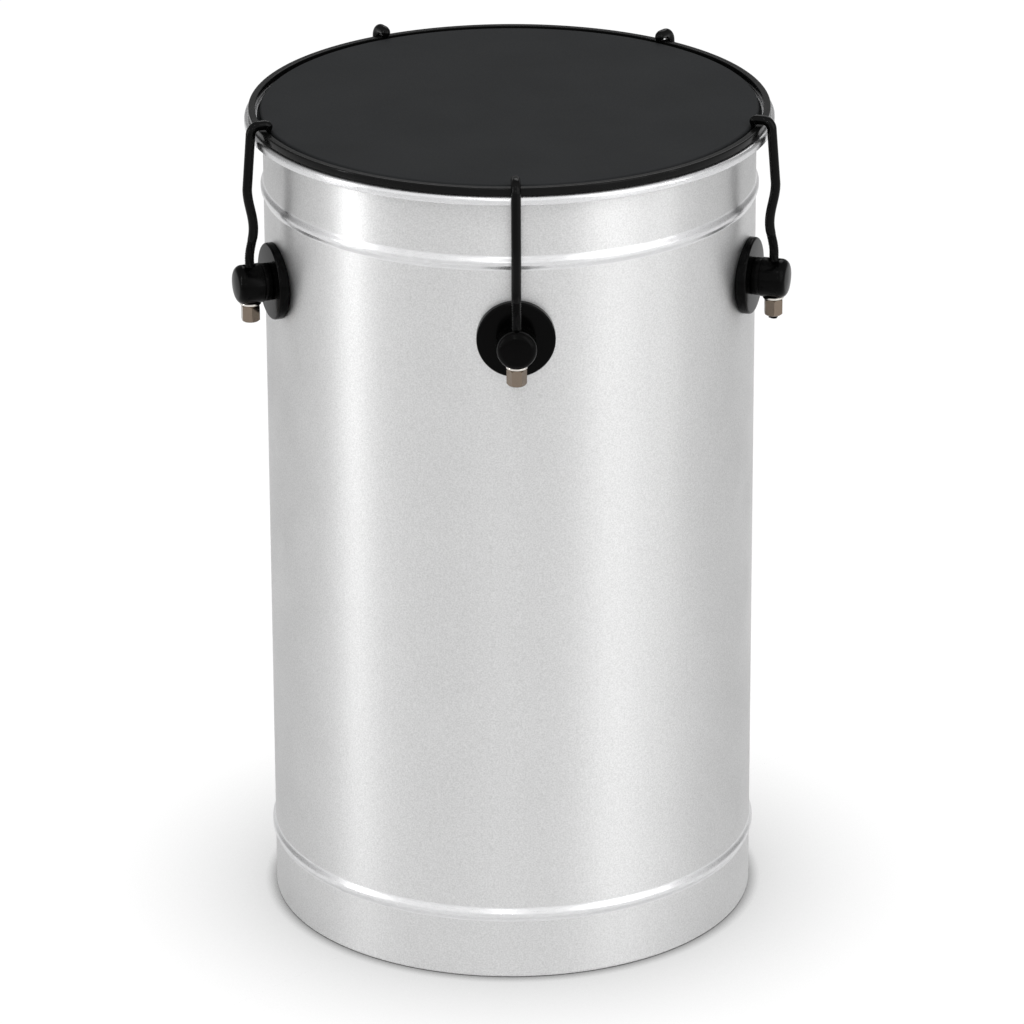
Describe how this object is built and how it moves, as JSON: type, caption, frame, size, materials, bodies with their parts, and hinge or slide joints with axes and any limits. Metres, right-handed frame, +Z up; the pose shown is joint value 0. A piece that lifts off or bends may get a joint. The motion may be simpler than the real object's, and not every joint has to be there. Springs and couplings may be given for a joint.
{
  "type": "tantan",
  "caption": "Upright hand drum: a cylindrical aluminium shell, open at the bottom, with one black skin pulled tight by rods and nuts on black pegs.",
  "frame": {"origin": "middle of the footprint's bounding box, on the plane of the shell's lower edge", "axes": "+Z up along the drum, -Y towards the front tuning peg"},
  "size_m": [0.3398, 0.337, 0.5217],
  "materials": {
    "shell_aluminium": "satin, bead-blasted look with polished beads",
    "hoop_aluminium": "bright formed sheet",
    "black_skin": "matt synthetic leather with a fine grain",
    "black_hoop": "satin black coating",
    "black_rod": "glossy black enamel",
    "black_nylon": "moulded, satin",
    "nickel": "nickel plating",
    "zinc": "bright zinc plating"
  },
  "bodies": {
    "drum": {"shell": "shell_aluminium", "peg_front": "black_nylon", "peg_right": "black_nylon", "peg_rear_right": "black_nylon", "peg_rear_left": "black_nylon", "peg_left": "black_nylon", "peg_disc_front": "black_nylon", "peg_disc_right": "black_nylon", "peg_disc_rear_right": "black_nylon", "peg_disc_rear_left": "black_nylon", "peg_disc_left": "black_nylon", "nut_washer_front": "nickel", "nut_washer_right": "nickel", "nut_washer_rear_right": "nickel", "nut_washer_rear_left": "nickel", "nut_washer_left": "nickel", "peg_bolt_front": "zinc", "peg_bolt_right": "zinc", "peg_bolt_rear_right": "zinc", "peg_bolt_rear_left": "zinc", "peg_bolt_left": "zinc", "bolt_washer_front": "zinc", "bolt_washer_right": "zinc", "bolt_washer_rear_right": "zinc", "bolt_washer_rear_left": "zinc", "bolt_washer_left": "zinc"},
    "head": {"head_skin": "black_skin", "flesh_hoop": "hoop_aluminium"},
    "hoop": {"counter_hoop": "black_hoop"},
    "front_hook": {"hook_front": "black_rod"},
    "right_hook": {"hook_right": "black_rod"},
    "rear_right_hook": {"hook_rear_right": "black_rod"},
    "rear_left_hook": {"hook_rear_left": "black_rod"},
    "left_hook": {"hook_left": "black_rod"},
    "front_nut": {"tuning_nut_front": "nickel"},
    "right_nut": {"tuning_nut_right": "nickel"},
    "rear_right_nut": {"tuning_nut_rear_right": "nickel"},
    "rear_left_nut": {"tuning_nut_rear_left": "nickel"},
    "left_nut": {"tuning_nut_left": "nickel"}
  },
  "joints": [
    {"name": "hoop_lift", "type": "slide", "parent": "drum", "child": "hoop", "axis": [0, 0, 1], "range_m": [0, 0.04]},
    {"name": "head_lift", "type": "slide", "parent": "drum", "child": "head", "axis": [0, 0, 1], "range_m": [0, 0.02]},
    {"name": "front_hook_travel", "type": "slide", "parent": "hoop", "child": "front_hook", "axis": [0, 0, 1], "range_m": [0, 0.006]},
    {"name": "right_hook_travel", "type": "slide", "parent": "hoop", "child": "right_hook", "axis": [0, 0, 1], "range_m": [0, 0.006]},
    {"name": "rear_right_hook_travel", "type": "slide", "parent": "hoop", "child": "rear_right_hook", "axis": [0, 0, 1], "range_m": [0, 0.006]},
    {"name": "rear_left_hook_travel", "type": "slide", "parent": "hoop", "child": "rear_left_hook", "axis": [0, 0, 1], "range_m": [0, 0.006]},
    {"name": "left_hook_travel", "type": "slide", "parent": "hoop", "child": "left_hook", "axis": [0, 0, 1], "range_m": [0, 0.006]},
    {"name": "front_nut_turn", "type": "hinge", "parent": "drum", "child": "front_nut", "pos_m": [0, -0.159, 0.4018], "axis": [0, 0, -1], "range_deg": [0, 2160]},
    {"name": "right_nut_turn", "type": "hinge", "parent": "drum", "child": "right_nut", "pos_m": [0.15835, -0.04395, 0.4018], "axis": [0, 0, -1], "range_deg": [0, 2160]},
    {"name": "rear_right_nut_turn", "type": "hinge", "parent": "drum", "child": "rear_right_nut", "pos_m": [0.10478, 0.13689, 0.4018], "axis": [0, 0, -1], "range_deg": [0, 2160]},
    {"name": "rear_left_nut_turn", "type": "hinge", "parent": "drum", "child": "rear_left_nut", "pos_m": [-0.08072, 0.15312, 0.4018], "axis": [0, 0, -1], "range_deg": [0, 2160]},
    {"name": "left_nut_turn", "type": "hinge", "parent": "drum", "child": "left_nut", "pos_m": [-0.15835, -0.04395, 0.4018], "axis": [0, 0, -1], "range_deg": [0, 2160]}
  ],
  "couplings": [
    {"joint": "head_lift", "follows": "hoop_lift", "ratio": 0.5},
    {"joint": "front_nut_turn", "follows": "front_hook_travel", "rad_per_m": 6283.2},
    {"joint": "right_nut_turn", "follows": "right_hook_travel", "rad_per_m": 6283.2},
    {"joint": "rear_right_nut_turn", "follows": "rear_right_hook_travel", "rad_per_m": 6283.2},
    {"joint": "rear_left_nut_turn", "follows": "rear_left_hook_travel", "rad_per_m": 6283.2},
    {"joint": "left_nut_turn", "follows": "left_hook_travel", "rad_per_m": 6283.2}
  ]
}
